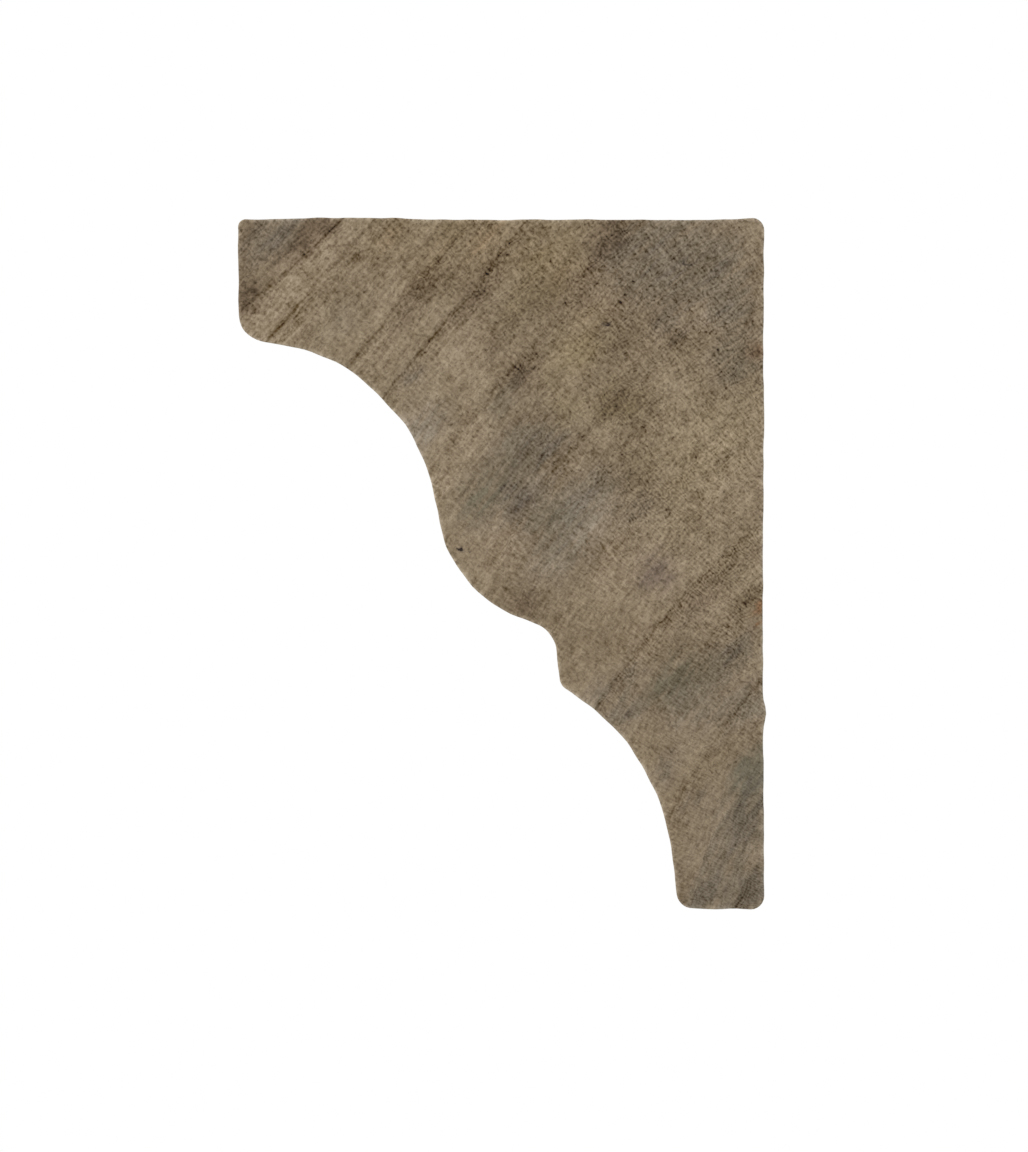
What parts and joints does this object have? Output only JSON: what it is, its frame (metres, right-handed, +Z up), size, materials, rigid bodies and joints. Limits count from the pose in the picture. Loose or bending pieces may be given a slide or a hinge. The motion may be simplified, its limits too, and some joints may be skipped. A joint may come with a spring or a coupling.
{
  "type": "crown moulding",
  "caption": "Solid wood crown moulding with cove, ovolo, fillet and cove, cut square at both ends, to finish the corner between a wall and a ceiling.",
  "frame": {"origin": "the middle of the wall face: half way up it and half way along the stick", "axes": "+X points out of the wall face into the wall, so the room is on the side of -X; +Y runs along the stick; +Z is up, towards the ceiling"},
  "size_m": [0.0581, 1, 0.0762],
  "materials": {
    "raw_wood": "matte"
  },
  "bodies": {
    "root": {"crown_moulding": "raw_wood"}
  },
  "joints": []
}
